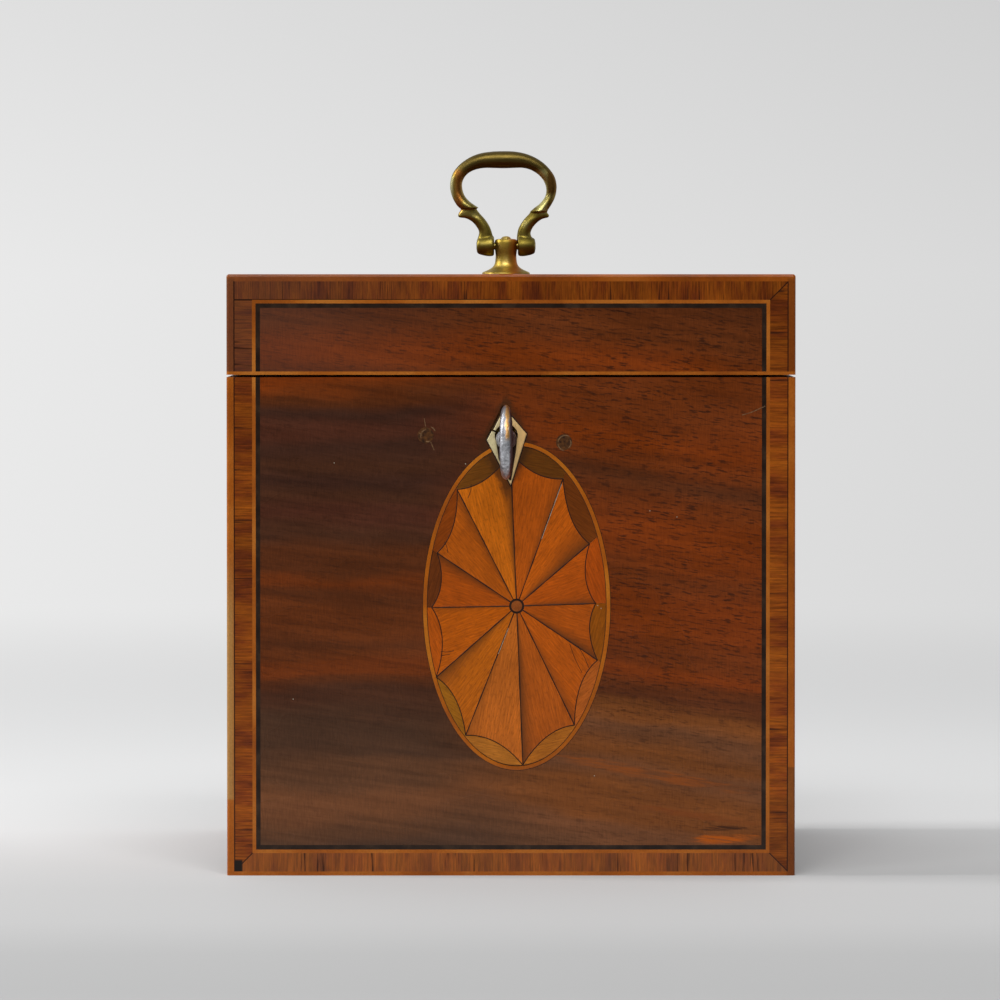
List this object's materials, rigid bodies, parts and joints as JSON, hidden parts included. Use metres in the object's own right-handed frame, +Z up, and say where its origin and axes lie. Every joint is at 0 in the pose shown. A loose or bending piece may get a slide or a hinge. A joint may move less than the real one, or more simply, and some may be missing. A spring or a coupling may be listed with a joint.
{
  "type": "tea caddy",
  "caption": "Cube tea caddy in crossbanded mahogany veneer with a shaded fan patera, bone escutcheon, working box lock and key, and a brass loop handle on the hinged lid.",
  "frame": {"origin": "centre of the underside of the case, on the surface it stands on", "axes": "+X to the viewer's right when looking at the front, +Y to the back where the hinges are, +Z up; the front with the escutcheon faces -Y"},
  "size_m": [0.12, 0.1395, 0.154],
  "materials": {
    "mahogany_veneer": "polished, darkened by age",
    "crossbanding_wood": "polished, orange brown",
    "boxwood": "polished, darkened by age",
    "ebonised_wood": "polished, stained black",
    "shaded_satinwood": "polished, shaded along one edge of each leaf",
    "stained_sycamore": "polished, stained green and brown",
    "filler_wood": "polished plug",
    "bone": "smooth yellowed bone",
    "case_wood": "planed, darkened",
    "lead_foil": "dull grey foil",
    "aged_brass": "aged, rubbed bright on the high spots",
    "lock_brass": "filed, dulled",
    "steel": "worn bright"
  },
  "bodies": {
    "box": {"base_board": "case_wood", "front_board": "case_wood", "back_board": "case_wood", "left_board": "case_wood", "right_board": "case_wood", "well_lining": "lead_foil", "front_veneer": "mahogany_veneer", "back_veneer": "mahogany_veneer", "left_veneer": "mahogany_veneer", "right_veneer": "mahogany_veneer", "front_crossbanding": "crossbanding_wood", "front_boxwood_line": "boxwood", "front_ebony_line": "ebonised_wood", "body_edging": "boxwood", "patera_border": "boxwood", "patera_fan_leaves": "shaded_satinwood", "patera_scallops": "stained_sycamore", "patera_boss_ring": "ebonised_wood", "patera_boss_dot": "boxwood", "hole_fillings": "filler_wood", "escutcheon": "bone", "lock_plate": "lock_brass", "lock_cap": "lock_brass", "lock_drill_pin": "steel", "lock_spring": "steel", "lock_screws": "steel", "body_hinge_leaves": "lock_brass", "hinge_pins": "steel", "body_hinge_screws": "steel"},
    "lid": {"lid_front_board": "case_wood", "lid_back_board": "case_wood", "lid_left_board": "case_wood", "lid_right_board": "case_wood", "lid_top_board": "case_wood", "lid_top_veneer": "mahogany_veneer", "lid_front_veneer": "mahogany_veneer", "lid_back_veneer": "mahogany_veneer", "lid_left_veneer": "mahogany_veneer", "lid_right_veneer": "mahogany_veneer", "lid_crossbanding": "crossbanding_wood", "lid_boxwood_line": "boxwood", "lid_ebony_line": "ebonised_wood", "lid_edging": "boxwood", "lid_rim_line": "boxwood", "lid_hinge_leaves": "lock_brass", "lid_hinge_screws": "steel", "link_plate": "lock_brass", "link_plate_screws": "steel", "handle_post": "aged_brass", "handle_nut": "aged_brass", "handle_washer": "aged_brass", "handle_pin": "aged_brass"},
    "handle": {"handle_loop": "aged_brass"},
    "key": {"key": "steel"},
    "bolt": {"lock_bolt": "lock_brass"}
  },
  "joints": [
    {"name": "lid_hinge", "type": "hinge", "parent": "box", "child": "lid", "pos_m": [0, 0.059, 0.10555], "axis": [-1, 0, 0], "range_deg": [0, 100]},
    {"name": "handle_swing", "type": "hinge", "parent": "lid", "child": "handle", "pos_m": [-0.001, 0, 0.1332], "axis": [1, 0, 0], "range_deg": [-100, 100]},
    {"name": "key_turn", "type": "hinge", "parent": "box", "child": "key", "pos_m": [-0.001, -0.059, 0.0923], "axis": [0, -1, 0], "range_deg": [0, 90]},
    {"name": "bolt_slide", "type": "slide", "parent": "box", "child": "bolt", "axis": [1, 0, 0], "range_m": [0, 0.0054]}
  ],
  "couplings": [
    {"joint": "key_turn", "follows": "bolt_slide", "rad_per_m": 290.88}
  ]
}
